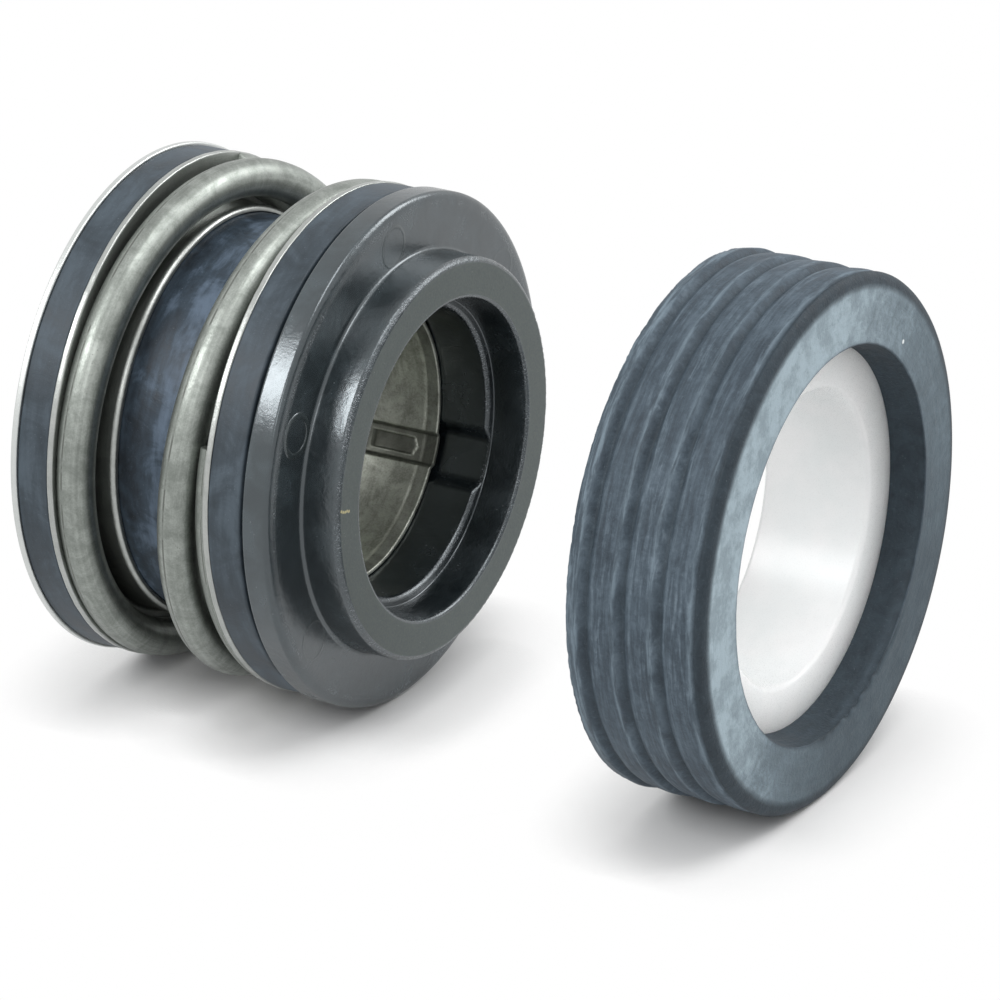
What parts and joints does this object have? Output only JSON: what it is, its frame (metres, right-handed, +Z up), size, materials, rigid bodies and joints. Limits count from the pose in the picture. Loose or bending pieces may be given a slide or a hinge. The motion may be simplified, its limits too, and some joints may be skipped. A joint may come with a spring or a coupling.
{
  "type": "pump mechanical seal",
  "caption": "Spring-loaded rotating head with a black face ring on a rubber bellows, and its stationary white ceramic ring in a ribbed rubber cup, for sealing a pump shaft.",
  "frame": {"origin": "on the shaft axis, halfway along the ribbed outside of the seat cup", "axes": "+X along the shaft from the head to the seat, +Z up"},
  "size_m": [0.0538, 0.037, 0.037],
  "materials": {
    "rubber_seat": "moulded, with a pale bloom",
    "rubber_bellows": "moulded, dull",
    "ceramic": "ground and lapped",
    "face_ring": "glossy moulding with a matt lapped face",
    "pressed_steel": "satin sheet",
    "spring_steel": "drawn wire",
    "sleeve_steel": "dull, blotchy"
  },
  "bodies": {
    "seat": {"seat_cup": "rubber_seat", "ceramic_seat": "ceramic"},
    "rotor": {"bellows": "rubber_bellows", "drive_sleeve": "sleeve_steel", "rear_retainer": "pressed_steel", "rear_spring_cup": "pressed_steel", "spring": "spring_steel"},
    "face": {"primary_ring": "face_ring", "front_spring_cup": "pressed_steel"}
  },
  "joints": [
    {"name": "rotor_spin", "type": "hinge", "parent": "seat", "child": "rotor", "pos_m": [0, 0, 0], "axis": [1, 0, 0], "continuous": true},
    {"name": "face_travel", "type": "slide", "parent": "rotor", "child": "face", "axis": [1, 0, 0], "range_m": [-0.004, 0], "stiffness_N_per_m": 8000, "deforming": ["spring", "bellows"]}
  ]
}
